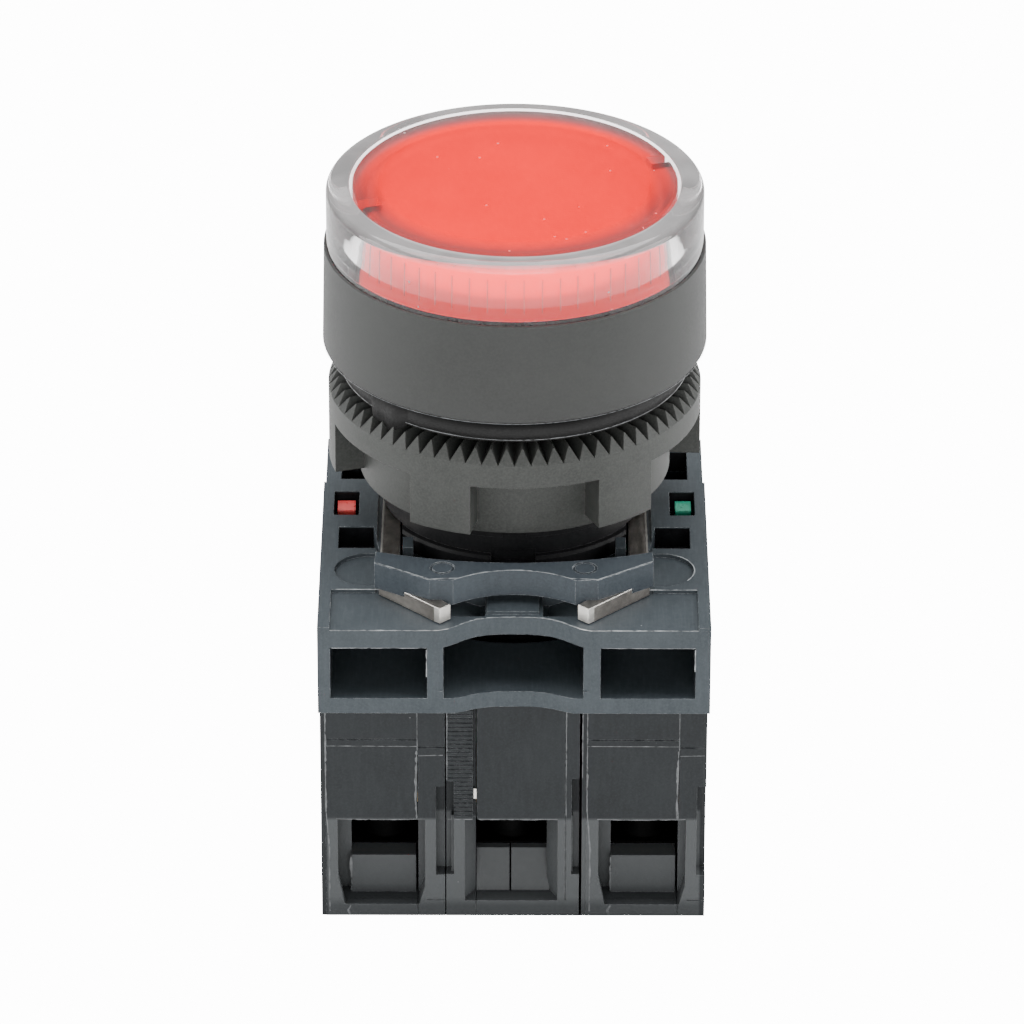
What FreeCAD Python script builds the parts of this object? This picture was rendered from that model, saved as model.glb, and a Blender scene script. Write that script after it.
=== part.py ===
import FreeCAD, Part
import math
import os
import Sketcher

# Illuminated flush push button, 22 mm panel size: head, fixing nut, mounting collar and three
# clip-on blocks (normally closed, lamp, normally open).
# Frame: Z is the button axis and points at the operator, Z = 0 is the flat back of the blocks,
# -Y is the side of the lock lever. All sizes in millimetres.

os.makedirs("parts", exist_ok=True)
doc = FreeCAD.newDocument("push_button")
sheet = doc.addObject("Spreadsheet::Sheet", "Dims")

sizes = {
    # head
    "bezel_top": 51.5, "bezel_bottom": 43.3, "bezel_top_rad": 14.7, "bezel_foot_rad": 14.85,
    "bezel_bore": 13.45, "crown": 56.5, "guard_rad": 14.5, "guard_bore": 12.7,
    "lens_rad": 12.45, "lens_skirt_end": 49.2, "neck_rad": 11.0, "neck_end": 26.3,
    "chamber_rad": 9.5, "throat_rad": 8.0, "shoulder": 29.6, "ledge": 33.0, "carrier_rad": 9.2,
    "carrier_tube": 7.7, "carrier_bore": 6.6, "carrier_end": 26.0, "carrier_top": 51.8,
    "gasket_low": 41.0, "gasket_top": 42.4, "gasket_rad": 13.5, "stroke": 4.0,
    # fixing nut
    "nut_rad": 14.46, "nut_bore": 11.1, "nut_low": 37.56, "nut_high": 39.46, "tooth_tip": 40.55,
    "tooth_count": 72, "hub_rad": 12.1, "hub_low": 32.42, "lug_low": 33.36, "lug_count": 6,
    # mounting collar
    "collar_half": 15.0, "collar_reach": 19.6, "collar_low": 20.8, "deck": 28.34,
    "front_deck": 28.05, "deck_under": 26.55, "shelf": 22.13, "deck_back": 10.6,
    "rear_deck": 23.3, "collar_hole": 11.1,
    # lock
    "wire_in": 8.97, "wire_out": 10.17, "wire_low": 28.13, "wire_high": 29.41,
    "wire_bed": 28.05, "lever_low": 29.0, "lever_top": 31.15,
    # blocks
    "block_half": 15.5, "block_top": 20.72, "block_width": 9.65, "nc_left": -15.0,
    "no_left": 5.3, "lamp_left": -5.25, "lamp_width": 10.35, "wall": 0.8, "split": 7.5,
    "seam_gap": 0.05, "stem_mid": 4.9, "bar_top": 25.7, "screw_at": 9.0, "head_r": 2.6,
    "shank_r": 1.7, "entry_low": 1.05, "entry_high": 8.8, "ramp_top": 4.3,
    "plate_low": 9.0, "plate_thick": 1.0,
}


class Size:
    """A length together with the sheet expression that drives it."""

    def __init__(self, value, text):
        self.value = value
        self.text = text

    def join(self, other, sign, value):
        return Size(value, "(%s %s %s)" % (self.text, sign, other.text))

    def __add__(self, other):
        other = sized(other)
        return self.join(other, "+", self.value + other.value)

    def __sub__(self, other):
        other = sized(other)
        return self.join(other, "-", self.value - other.value)

    def __mul__(self, other):
        other = sized(other)
        return self.join(other, "*", self.value * other.value)

    def __truediv__(self, other):
        other = sized(other)
        return self.join(other, "/", self.value / other.value)

    def __neg__(self):
        return Size(-self.value, "(0 - %s)" % self.text)

    __radd__ = __add__
    __rmul__ = __mul__

    def __rsub__(self, other):
        return sized(other) - self


def sized(number):
    if isinstance(number, Size):
        return number
    return Size(float(number), "%.5f" % number if number >= 0 else "(0 - %.5f)" % -number)


for row, (name, value) in enumerate(sizes.items(), start=1):
    sheet.set("A%d" % row, name)
    sheet.set("B%d" % row, "%g" % value)
    sheet.setAlias("B%d" % row, name)
doc.recompute()


class Dimensions:
    pass


d = Dimensions()
for name, value in sizes.items():
    setattr(d, name, Size(float(value), "Dims." + name))


def bind(thing, prop, number):
    thing.setExpression(prop, sized(number).text)


counter = {"made": 0}


def fresh(kind):
    counter["made"] += 1
    return "%s%03d" % (kind, counter["made"])


def box(xs, ys, zs):
    solid = doc.addObject("Part::Box", fresh("block"))
    for prop, axis, (low, high) in zip(("Length", "Width", "Height"), "xyz", (xs, ys, zs)):
        bind(solid, prop, sized(high) - low)
        bind(solid, "Placement.Base." + axis, low)
    return solid


def rod(radius, zs, x=0, y=0):
    solid = doc.addObject("Part::Cylinder", fresh("rod"))
    bind(solid, "Radius", radius)
    bind(solid, "Height", sized(zs[1]) - zs[0])
    for axis, at in zip("xyz", (x, y, zs[0])):
        bind(solid, "Placement.Base." + axis, at)
    return solid


def fuse(*solids):
    if len(solids) == 1:
        return solids[0]
    joined = doc.addObject("Part::MultiFuse", fresh("union"))
    joined.Shapes = list(solids)
    joined.Refine = True
    return joined


def cut(base, *tools):
    result = doc.addObject("Part::Cut", fresh("cut"))
    result.Base = base
    result.Tool = fuse(*tools)
    result.Refine = True
    return result


def tube(outer, inner, zs, x=0, y=0):
    return cut(rod(outer, zs, x, y), rod(inner, (sized(zs[0]) - 1, sized(zs[1]) + 1), x, y))


def new_body():
    return doc.addObject("PartDesign::Body", fresh("body"))


def sketch_on(body, role, offset=0):
    sketch = body.newObject("Sketcher::SketchObject", fresh("sketch"))
    plane = [item for item in body.Origin.OriginFeatures if item.Role == role][0]
    sketch.AttachmentSupport = [(plane, "")]
    sketch.MapMode = "FlatFace"
    bind(sketch, "AttachmentOffset.Base.z", offset)
    return sketch


def pin_point(sketch, edge, end, across, up):
    for kind, axis, number in (("DistanceX", -2, across), ("DistanceY", -1, up)):
        number = sized(number)
        if abs(number.value) < 1e-6:
            sketch.addConstraint(Sketcher.Constraint("PointOnObject", edge, end, axis))
            continue
        if number.value > 0:
            ends = (-1, 1, edge, end)
        else:
            ends, number = (edge, end, -1, 1), -number
        index = sketch.addConstraint(Sketcher.Constraint(kind, *ends, number.value))
        sketch.setExpression("Constraints[%d]" % index, number.text)


def draw_polygon(sketch, points):
    corners = [FreeCAD.Vector(sized(a).value, sized(b).value, 0) for a, b in points]
    edges = [sketch.addGeometry(Part.LineSegment(corners[i], corners[(i + 1) % len(corners)]), False)
             for i in range(len(corners))]
    for i, edge in enumerate(edges):
        sketch.addConstraint(Sketcher.Constraint("Coincident", edge, 2, edges[(i + 1) % len(edges)], 1))
    for edge, (across, up) in zip(edges, points):
        pin_point(sketch, edge, 1, across, up)


def turned(profile):
    """Solid of revolution about Z from (radius, height) corners."""
    body = new_body()
    sketch = sketch_on(body, "XZ_Plane")
    draw_polygon(sketch, profile)
    spin = body.newObject("PartDesign::Revolution", fresh("turn"))
    spin.Profile = sketch
    spin.ReferenceAxis = (sketch, ["V_Axis"])
    spin.Angle = 360
    return body


def padded(points, zs):
    """Upright prism from (x, y) corners."""
    body = new_body()
    sketch = sketch_on(body, "XY_Plane", zs[0])
    draw_polygon(sketch, points)
    pad = body.newObject("PartDesign::Pad", fresh("pad"))
    pad.Profile = sketch
    bind(pad, "Length", sized(zs[1]) - zs[0])
    return body


def prism_yz(points, xs):
    """Prism along X from (y, z) corners."""
    body = new_body()
    sketch = sketch_on(body, "YZ_Plane", xs[0])
    draw_polygon(sketch, points)
    pad = body.newObject("PartDesign::Pad", fresh("pad"))
    pad.Profile = sketch
    bind(pad, "Length", sized(xs[1]) - xs[0])
    return body


def prism_xz(points, ys):
    """Prism along Y from (x, z) corners."""
    body = new_body()
    sketch = sketch_on(body, "XZ_Plane", -sized(ys[1]))
    draw_polygon(sketch, points)
    pad = body.newObject("PartDesign::Pad", fresh("pad"))
    pad.Profile = sketch
    bind(pad, "Length", sized(ys[1]) - ys[0])
    return body


def coil(mean_rad, wire_rad, zs, turns, x=0, y=0):
    """Compression spring with its wire's ends on the two seats, swept in quarter turns."""
    low = sized(zs[0]).value + wire_rad
    rise = sized(zs[1]).value - wire_rad - low
    radius = sized(mean_rad).value
    quarter = rise / turns / 4
    runs = []
    for i in range(turns * 4):
        run = Part.makeHelix(quarter * 4, quarter, radius)
        run.rotate(FreeCAD.Vector(), FreeCAD.Vector(0, 0, 1), 90 * i)
        run.translate(FreeCAD.Vector(0, 0, quarter * i))
        runs += run.Edges
    section = Part.Wire(Part.makeCircle(wire_rad, FreeCAD.Vector(radius, 0, 0),
                                        FreeCAD.Vector(0, 1, 0)))
    spring = doc.addObject("Part::Feature", fresh("spring"))
    spring.Shape = Part.Wire(runs).makePipeShell([section], True, True)
    spring.Placement = FreeCAD.Placement(FreeCAD.Vector(sized(x).value, sized(y).value, low),
                                         FreeCAD.Rotation())
    return spring


nodes = {}


def keep(name, *solids):
    """Names a finished piece; several solids make a group of identical pieces."""
    if len(solids) > 1:
        whole = doc.addObject("Part::Compound", fresh("group"))
        whole.Links = list(solids)
    else:
        whole = solids[0]
    whole.Label = name
    nodes[name] = whole


# ---- head ---------------------------------------------------------------------------------

body = turned([
    (d.throat_rad, d.neck_end), (d.neck_rad, d.neck_end), (d.neck_rad, d.shoulder - 0.2),
    (d.neck_rad - 0.2, d.shoulder), (10.35, d.shoulder), (10.35, 31.2), (d.neck_rad, 31.4),
    (d.neck_rad, d.gasket_top),
    (13.3, d.gasket_top), (13.3, d.bezel_bottom), (d.bezel_bore - 0.05, d.bezel_bottom),
    (d.bezel_bore - 0.05, d.bezel_bottom + 1), (10.6, d.bezel_bottom + 1), (10.6, 45.0),
    (d.chamber_rad, 45.0), (d.chamber_rad, d.ledge), (d.throat_rad, d.ledge)])
# two flats that the lock wires drop into, a key groove and the screw thread
flats = [box((d.wire_in - 0.3, 12), (-8, 8), (26, d.wire_high + 0.3)),
         box((-12, 0.3 - d.wire_in), (-8, 8), (26, d.wire_high + 0.3))]
key = box((-0.9, 0.9), (-12, 0.6 - d.neck_rad), (31, 40.2))
notch = box((-1.8, 1.65), (-12, -10.2), (29.0, 30))
grooves = [tube(12.5, d.neck_rad - 0.35, (31.9 + 1.5 * i, 32.6 + 1.5 * i)) for i in range(6)]
keep("head_body", cut(body, *flats, key, notch, *grooves))

keep("bezel_ring", turned([
    (d.bezel_bore, d.bezel_bottom), (d.bezel_foot_rad - 0.15, d.bezel_bottom),
    (d.bezel_foot_rad, d.bezel_bottom + 0.15), (d.bezel_top_rad, d.bezel_top - 0.1),
    (d.bezel_top_rad - 0.1, d.bezel_top), (d.bezel_bore, d.bezel_top)]))

keep("clear_guard_ring", turned([
    (d.guard_bore, 45.6), (d.bezel_bore - 0.05, 45.6), (d.bezel_bore - 0.05, d.bezel_top),
    (d.guard_rad, d.bezel_top), (d.guard_rad, d.crown - 0.68), (d.guard_rad - 0.08, d.crown - 0.52),
    (d.guard_rad - 0.7, d.crown - 0.2), (d.guard_rad - 1.15, d.crown - 0.04),
    (d.guard_rad - 1.4, d.crown), (d.guard_bore + 0.18, d.crown), (d.guard_bore, d.crown - 0.15)]))

# cap: flat top, thin skirt, two pry notches on a diameter turned from the lever direction
cap = turned([
    (0, 55.4), (11.3, 55.4), (11.3, d.lens_skirt_end), (d.lens_rad - 0.25, d.lens_skirt_end),
    (d.lens_rad - 0.25, 55.2), (d.lens_rad, 55.4), (d.lens_rad, d.crown - 0.15),
    (d.lens_rad - 0.15, d.crown), (0, d.crown)])
notches = []
for side in (-1, 1):
    notch = box((10.9, 12.8), (-0.65, 0.65), (55.75, 57))
    turn = FreeCAD.Rotation(FreeCAD.Vector(0, 0, 1), 19 if side > 0 else 199)
    notch.setExpression("Placement.Base.x", None)
    notch.setExpression("Placement.Base.y", None)
    notch.Placement = FreeCAD.Placement(
        turn.multVec(FreeCAD.Vector(10.9, -0.65, 0)) + FreeCAD.Vector(0, 0, 55.75), turn)
    notches.append(notch)
keep("lens_cap", cut(cap, *notches))

keep("lens_diffuser", turned([
    (0, 54.2), (9.1, 54.2), (9.1, d.carrier_top + 0.05), (10.2, d.carrier_top + 0.05), (10.2, 55.3),
    (0, 55.3)]))

body = turned([
    (d.carrier_bore, d.carrier_end), (d.carrier_tube, d.carrier_end), (d.carrier_tube, 44.0),
    (d.carrier_rad, 44.0), (d.carrier_rad, 50.2), (11.25, 50.2), (11.25, d.carrier_top),
    (8.0, d.carrier_top), (8.0, 50.0), (d.carrier_bore, 48.0)])
keep("push_carrier", body)

keep("return_spring", coil(8.8, 0.35, (d.ledge, 44.0), 7))
keep("panel_gasket", turned([
    (11.05, d.gasket_low), (d.gasket_rad, d.gasket_low), (d.gasket_rad, d.gasket_top),
    (11.05, d.gasket_top)]))
keep("carrier_seal", turned([
    (10.6, 45.0), (10.6, 45.9), (9.7, 45.9), (9.3, 46.1), (9.3, 45.7), (d.chamber_rad, 45.0)]))

# ---- fixing nut ---------------------------------------------------------------------------

body = turned([
    (d.nut_bore, d.hub_low), (d.hub_rad, d.hub_low), (d.hub_rad, d.nut_low),
    (d.nut_rad, d.nut_low), (d.nut_rad, d.nut_high), (d.nut_rad - 0.75, d.tooth_tip),
    (d.nut_bore, d.tooth_tip)])
# V cuts between the radial teeth of the face: each is a pyramid whose point is on the axis
count = int(sheet.get("tooth_count"))
half_turn = math.pi / count * 0.94
reach = sheet.get("nut_rad") * 1.15
drop = (sheet.get("tooth_tip") - sheet.get("nut_high")) * 1.15
face = sheet.get("tooth_tip") + 0.001
gullets = []
for i in range(count):
    turn = 2 * math.pi * i / count
    tip = FreeCAD.Vector(0, 0, face)
    near, far = [FreeCAD.Vector(reach * math.cos(turn + a), reach * math.sin(turn + a), face)
                 for a in (-half_turn, half_turn)]
    root = FreeCAD.Vector(reach * math.cos(turn), reach * math.sin(turn), face - drop)
    sides = [(tip, near, far), (tip, near, root), (tip, far, root), (near, far, root)]
    shell = Part.makeShell([Part.Face(Part.makePolygon([a, b, c, a])) for a, b, c in sides])
    gullets.append(Part.makeSolid(shell))
teeth = doc.addObject("Part::Feature", "tooth_gaps")
teeth.Shape = Part.makeCompound(gullets)
body = cut(body, teeth)
wedges = []
for i in range(6):
    middle = math.radians(-90 + 36.5 + 60 * i)
    spread = math.radians(10)
    corners = [(r * math.cos(a), r * math.sin(a)) for r, a in
               ((11.6, middle - spread), (16, middle - spread), (16, middle + spread),
                (11.6, middle + spread))]
    wedges.append(padded(corners, (d.lug_low, d.nut_low + 0.5)))
lugs = doc.addObject("Part::MultiCommon", fresh("lugs"))
lugs.Shapes = [fuse(*wedges), tube(d.nut_rad, 11.9, (d.lug_low, d.nut_low + 0.5))]
keep("fixing_nut", fuse(body, lugs))

# ---- mounting collar ----------------------------------------------------------------------

front_step = -13.75
curve = [(5.8, -19.6), (5.1, -19.35), (4.4, -18.85), (3.7, -18.3), (2.9, -17.85), (2.0, -17.6),
         (1.0, -17.47)]
bay = [(x, y) for x, y in curve] + [(-x, y) for x, y in reversed(curve)] + [(-5.8, -21), (5.8, -21)]
low_curve = [(4.6, -19.6), (3.9, -19.35), (3.2, -19.0), (2.4, -18.75), (1.4, -18.55)]
low_bay = low_curve + [(-x, y) for x, y in reversed(low_curve)] + [(-4.6, -21), (4.6, -21)]
block = box((-d.collar_half, d.collar_half), (-d.collar_reach, d.collar_reach),
            (d.collar_low, d.deck))
hole = doc.addObject("Part::MultiCommon", fresh("hole"))
hole.Shapes = [rod(d.collar_hole, (19, 32)),
               box((-d.wire_in + 0.2, d.wire_in - 0.2), (-12, 12), (19, 32))]
removed = [
    # lower rear shelf, lower front strip between its side rims
    box((-16, 16), (d.deck_back, 21), (d.rear_deck, 30)),
    box((-14.05, 14.05), (-21, front_step), (d.front_deck, 30)),
    # bay for the blocks' clips, open below
    box((-14.2, 14.2), (-10.4, 10.0), (19, d.deck_under)),
    # front pockets
    box((-14.03, -6.63), (-21, -11.6), (d.shelf, d.deck_under)),
    box((6.6, 13.85), (-21, -11.6), (d.shelf, d.deck_under)),
    box((-5.4, 5.3), (-21, -10.2), (d.shelf, d.deck_under)),
    padded(bay, (d.shelf + 0.6, 30)),
    padded(low_bay, (19, d.shelf + 0.7)),
    # head hole, flat where the neck is
    hole,
]
for side in (-1, 1):
    def mirrored(low, high, side=side):
        return (low, high) if side > 0 else (-high, -low)
    # indicator window and the two clip windows beside it, round mould mark
    removed.append(box(mirrored(12.15, 14.12), (-1.9, 1.95), (26, 30)))
    removed.append(box(mirrored(11.6, 13.65), (3.95, 8.6), (26, 30)))
    slanted = [(side * x, y) for x, y in ((10.45, -7.2), (13.65, -7.2), (13.65, -3.8), (10.95, -3.8))]
    removed.append(padded(slanted, (26, 30)))
    removed.append(rod(2.55, (d.deck - 0.3, 30), side * 11.3, -10.6))
    removed.append(box(mirrored(14.85, 15.5), (3.5, 21), (19, 30)))
    # bed that the lock wire's arm slides in
    removed.append(box(mirrored(d.wire_in - 0.45, d.wire_out + 0.5), (-14, 8.6),
                       (d.wire_bed, 30)))
    # hollow beside the lever's stop, sloping down towards it
    slope = [(side * x, z) for x, z in ((2.2, 28.6), (2.2, 27.25), (2.6, 27.15), (5.3, d.wire_bed),
                                        (5.3, 28.6))]
    removed.append(prism_xz(slope, (-17.35, -14.2)))
stop = box((-2.1, 1.9), (-17.0, -14), (27.6, 28.3))
posts = [box((-8.6, -7.8), (-9.9, -8.2), (d.deck - 0.3, 29.9)),
         box((7.8, 8.6), (-9.9, -8.2), (d.deck - 0.3, 29.9))]
keep("mounting_collar", fuse(cut(block, *removed), stop, *posts))

# ---- lock lever and wires -----------------------------------------------------------------

def wire_arm(side):
    """Square wire that runs beside the neck, splays a little and bends in under the lever."""
    corners = [(d.wire_in, 8.0), (d.wire_in - 0.2, -13.6), (4.9, -17.9), (5.65, -18.6),
               (6.07, -18.25), (d.wire_out + 0.2, -14.1), (d.wire_out, 8.0)]
    if side < 0:
        corners = [(-sized(x), y) for x, y in corners]
    return padded(corners, (d.wire_low, d.wire_high))


lever = padded([(-10.6, -12.5), (-10.7, -14.6), (-6.45, -17.2), (-4.4, -17.2), (4.3, -17.2),
                (6.4, -17.2), (10.65, -14.3), (10.6, -12.5)], (d.lever_low, d.lever_top))
lever = cut(lever, rod(33.3, (28, 32), 0, 18.8), rod(7.8, (28, 32), 0, -23.46),
            wire_arm(-1), wire_arm(1),
            *[tube(0.95, 0.75, (d.lever_top - 0.12, 32), x, -15.3) for x in (-5.5, 5.4)])
keep("lock_lever", lever)
keep("lock_wires", wire_arm(-1), wire_arm(1))

# ---- blocks -------------------------------------------------------------------------------

inside = d.block_half - d.wall
flange = d.block_half - 2.1


def ramp(xs, end, foot, head):
    """Wedge behind a wire entry: its face runs from foot to head, then a level top."""
    corners = [(end * foot, 0.9), (end * head, d.ramp_top), (end * 11.6, d.ramp_top),
               (end * 11.6, 0.9)]
    return prism_yz(corners, xs)


def terminal_parts(x, reach, high, thick, down):
    """Terminal strips for both ends: clamp plate seat, riser, and arm to the contact tip."""
    strips, clamps, screws = [], [], []
    for end in (-1, 1):
        def along(low, high_y, end=end):
            return (low, high_y) if end > 0 else (-high_y, -low)
        seat = box((x - 2.9, x + 2.9), along(5.9, 13.2), (d.plate_low, d.plate_low + d.plate_thick))
        riser = box((x - 1.2, x + 1.2), along(5.9, 6.5), (d.plate_low + 0.5, high))
        arm = box((x - 1.2, x + 1.2), along(reach, 6.5), (sized(high) - thick, high))
        tip_top = sized(high) - thick if down else sized(high)
        tip = rod(0.9, (tip_top - 0.6, tip_top + 0.05) if down else (tip_top - 0.05, tip_top + 0.6),
                  x, end * (reach + 1.1))
        bore = rod(d.shank_r + 0.05, (5, 12), x, end * d.screw_at)
        strips.append(cut(fuse(seat, riser, arm, tip), bore))
        plate = box((x - 2.8, x + 2.8), along(6.9, 11.4), (3.4, 4.3))
        lip = box((x - 2.8, x + 2.8), along(6.9, 7.4), (4.3, 5.2))
        clamps.append(cut(fuse(plate, lip), bore_hole(x, end)))
        head = rod(d.head_r, (1.5, 3.35), x, end * d.screw_at)
        shank = rod(d.shank_r, (3.0, 11.4), x, end * d.screw_at)
        slot = box((x - 3, x + 3), along(d.screw_at - 0.35, d.screw_at + 0.35), (1.4, 2.4))
        cross = box((x - 0.35, x + 0.35), along(d.screw_at - 1.7, d.screw_at + 1.7), (1.4, 2.6))
        screws.append(cut(fuse(head, shank), slot, cross))
    return strips, clamps, screws


def bore_hole(x, end):
    return rod(d.shank_r + 0.1, (3, 6), x, end * d.screw_at)


def contact_block(name, left, closed):
    x = left + d.stem_mid
    right = left + d.block_width
    seam = left + d.split
    lid = seam + d.seam_gap

    def entry(end):
        mouth = [(left + 1.3, d.entry_high), (left + 1.3, 3.6), (left + 1.8, d.entry_low),
                 (left + 7.65, d.entry_low), (left + 8.1, 2.7), (left + 8.1, d.entry_high)]
        return prism_xz(mouth, (13.0, 16) if end > 0 else (-16, -13.0))

    screw_holes = [rod(2.75, (-1, 1.2), x, end * d.screw_at) for end in (-1, 1)]
    shell = box((left, seam), (-d.block_half, d.block_half), (0, d.block_top))
    clips = [box((left + 0.95, seam), (-9.9, -1.9), (d.block_top - 0.5, 22.2)),
             box((left + 0.95, seam), (1.9, 9.6), (d.block_top - 0.5, 22.2))]
    # room for the pressed carrier between the clips
    room = rod(8.2, (21.6, 24))
    hollow = box((left + 0.9, seam + 1), (-inside, inside), (1.0, 20.0))
    slot = box((left + 0.85, seam + 1), (-1.9, 1.9), (19, 24))
    lines = []
    for end in (-1, 1):
        ys = (-16, -15.42) if end < 0 else (15.42, 16)
        lines.append(box((left - 1, left + 0.35), ys, (-1, 22)))
        lines.append(box((left + 0.35, seam + 0.1), ys, (15.95, 16.05)))
    ramps = [ramp((left + 2.3, left + 7.36), end, 13.55, 13.45) for end in (-1, 1)]
    # cheek beside the ramp
    ramps += [box((left + 0.5, left + 2.3), (-12.7, -11.6) if end < 0 else (11.6, 12.7),
                  (0.9, 8.9)) for end in (-1, 1)]
    guides = [box((left + 0.5, seam), (-2.6, -1.9), (18.2, 20.4)),
              box((left + 0.5, seam), (1.9, 2.6), (18.2, 20.4))]
    seat = cut(tube(2.9, 2.2, (0.5, 2.4), x, 0), box((seam - 0.1, seam + 2), (-4, 4), (0, 3)))
    keep(name + "_housing", fuse(
        cut(fuse(shell, *clips), hollow, slot, room, entry(-1), entry(1), *screw_holes, *lines),
        *ramps, *guides, seat))

    plate = box((lid, right), (-d.block_half, d.block_half), (0, d.block_top))
    pocket = box((lid - 1, right - d.wall), (-flange, flange), (1.0, 20.0))
    gap = box((lid - 1, right - 0.95), (-1.9, 1.9), (19, 24))
    edges = []
    for end in (-1, 1):
        ys = (-16, -14.2) if end < 0 else (14.2, 16)
        edges.append(box((right - 0.7, right + 1), ys, (3.75, 11.8)))
        ys = (-16, -15.42) if end < 0 else (15.42, 16)
        edges.append(box((lid - 0.1, right + 1), ys, (15.27, 15.37)))
        edges.append(box((right - 1.4, right + 1), ys, (1.4, 1.5)))
    cheeks = [box((lid, right - 0.5), (-13.5, -11.6) if end < 0 else (11.6, 13.5), (0.9, 8.9))
              for end in (-1, 1)]
    keep(name + "_cover", fuse(
        cut(plate, pocket, gap, entry(-1), entry(1), *screw_holes, *edges), *cheeks))

    # plunger: bar under the carrier, indicator post, stem with a window for the bridge
    stem = box((x - 1.8, x + 1.8), (-1.5, 1.5), (7.4, 24.3))
    if closed:
        bar = box((left + 1.15, left + 8.4), (-1.5, 1.5), (24.1, d.bar_top))
        post = box((left + 1.15, left + 2.55), (-0.2, 1.4), (d.bar_top - 0.5, 27.8))
        bridge_low, window = 14.0, (10.4, 14.7)
        springs = (10.45, 13.95)
        high, thick, down = 16.1, 0.6, True
    else:
        bar = box((left + 1.2, left + 8.5), (-1.5, 1.5), (24.1, d.bar_top))
        post = box((left + 7.3, left + 8.55), (-0.2, 1.4), (d.bar_top - 0.5, 27.8))
        bridge_low, window = 17.0, (16.9, 20.6)
        springs = (17.65, 20.55)
        high, thick, down = 12.1, 0.6, False
    opening = box((x - 1.1, x + 1.1), (-3, 3), window)
    keep(name + "_plunger", cut(fuse(stem, bar, post), opening))
    strap = box((x - 1.0, x + 1.0), (-5.0, 5.0), (bridge_low, bridge_low + 0.6))
    keep(name + "_bridge", strap)
    keep(name + "_contact_spring", coil(0.7, 0.15, springs, 4, x, 0))
    keep(name + "_return_spring", coil(1.6, 0.2, (1.05, 7.35), 4, x, 0))
    strips, clamps, screws = terminal_parts(x, 2.9, high, thick, down)
    keep(name + "_terminals", *strips)
    keep(name + "_clamps", *clamps)
    keep(name + "_screws", *screws)


contact_block("nc", d.nc_left, True)
contact_block("no", d.no_left, False)

# ---- lamp block ---------------------------------------------------------------------------

left = d.lamp_left
right = left + d.lamp_width
seam = left + 2.35
x = left + d.lamp_width / 2
entries = [box((-3.8, 3.43), ys, (1.4, d.entry_high)) for ys in ((-16, -13.0), (13.0, 16))]
holes = [rod(2.75, (-1, 1.2), x, end * d.screw_at) for end in (-1, 1)]
shell = box((seam, right), (-d.block_half, d.block_half), (0, d.block_top))
hollow = box((seam - 1, right - d.wall), (-inside + 0.7, inside - 0.7), (1.0, 20.0))
lines = []
for end in (-1, 1):
    ys = (-16, -15.1) if end < 0 else (15.1, 16)
    lines.append(box((seam - 1, seam + 0.08), ys, (8.8, 22)))
    ys = (-16, -15.43) if end < 0 else (15.43, 16)
    lines.append(box((4.0, 4.1), ys, (1.4, 22)))
    ys = (-16, -14.3) if end < 0 else (14.3, 16)
    lines.append(box((4.5, 6), ys, (3.8, 12.5)))
tower = cut(tube(5.2, 4.2, (20.4, 31.0), x, 0), box((left - 1, seam), (-7, 7), (19, 20.9)))
socket = box((x - 3, x + 3), (-3, 3), (19, 22))
ramps = []
for end in (-1, 1):
    ramps.append(ramp((-2.9, -0.32), end, 14.2, 12.3))
    ramps.append(ramp((-0.18, 2.8), end, 14.2, 12.3))
    # slanted cheek of the funnel
    ramps.append(padded([(3.43, end * 15.0), (2.6, end * 13.4), (2.6, end * 11.6),
                         (4.6, end * 11.6), (4.6, end * 15.0)], (0.9, 8.9)))
keep("lamp_housing", fuse(cut(shell, hollow, socket, *entries, *holes, *lines), tower, *ramps))

cover_edge = seam - d.seam_gap
plate = box((left, cover_edge), (-d.block_half, d.block_half), (0, d.block_top))
pocket = box((left + d.wall, cover_edge + 1), (-flange, flange), (1.0, 20.0))
ribs = []
for i in range(31):
    for end in (-1, 1):
        ys = (-16, -15.42) if end < 0 else (15.42, 16)
        ribs.append(box((left - 1, left + 2.05), ys, (9.1 + 0.38 * i, 9.25 + 0.38 * i)))
edge_slots = [box((left - 1, left + 0.6), ys, (3.8, 12.2)) for ys in ((-16, -14.3), (14.3, 16))]
edge_slots += [box((seam - 0.28, seam + 1), ys, (8.8, 22)) for ys in ((-16, -15.1), (15.1, 16))]
cheeks = [padded([(left + 0.4, end * 15.0), (-3.8, end * 15.0), (cover_edge, end * 13.7),
                  (cover_edge, end * 11.6), (left + 0.4, end * 11.6)], (0.9, 8.9)) for end in (-1, 1)]
keep("lamp_cover", fuse(cut(plate, pocket, *entries, *holes, *ribs, *edge_slots), *cheeks))

board = cut(box((x - 3.6, x + 3.6), (-2.2, -1.2), (2.0, 19.9)),
            box((x - 0.5, x + 0.5), (-3, 0), (1, 3)))
keep("lamp_board", board)
dome = turned([(0, 20.5), (2.9, 20.5), (2.9, 21.5), (2.5, 21.5), (2.5, 26.5), (2.3, 27.5),
               (1.77, 28.3), (0.96, 28.8), (0, 29.0)])
keep("lamp_led", dome)
keep("lamp_resistor", box((x - 1.6, x + 1.6), (-1.15, -0.55), (12.0, 13.6)))
strips, clamps, screws = terminal_parts(x, 2.6, 12.5, 0.6, False)
keep("lamp_terminals", *strips)
keep("lamp_clamps", *clamps)
keep("lamp_screws", *screws)

# ---- checks and files ---------------------------------------------------------------------

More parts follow.
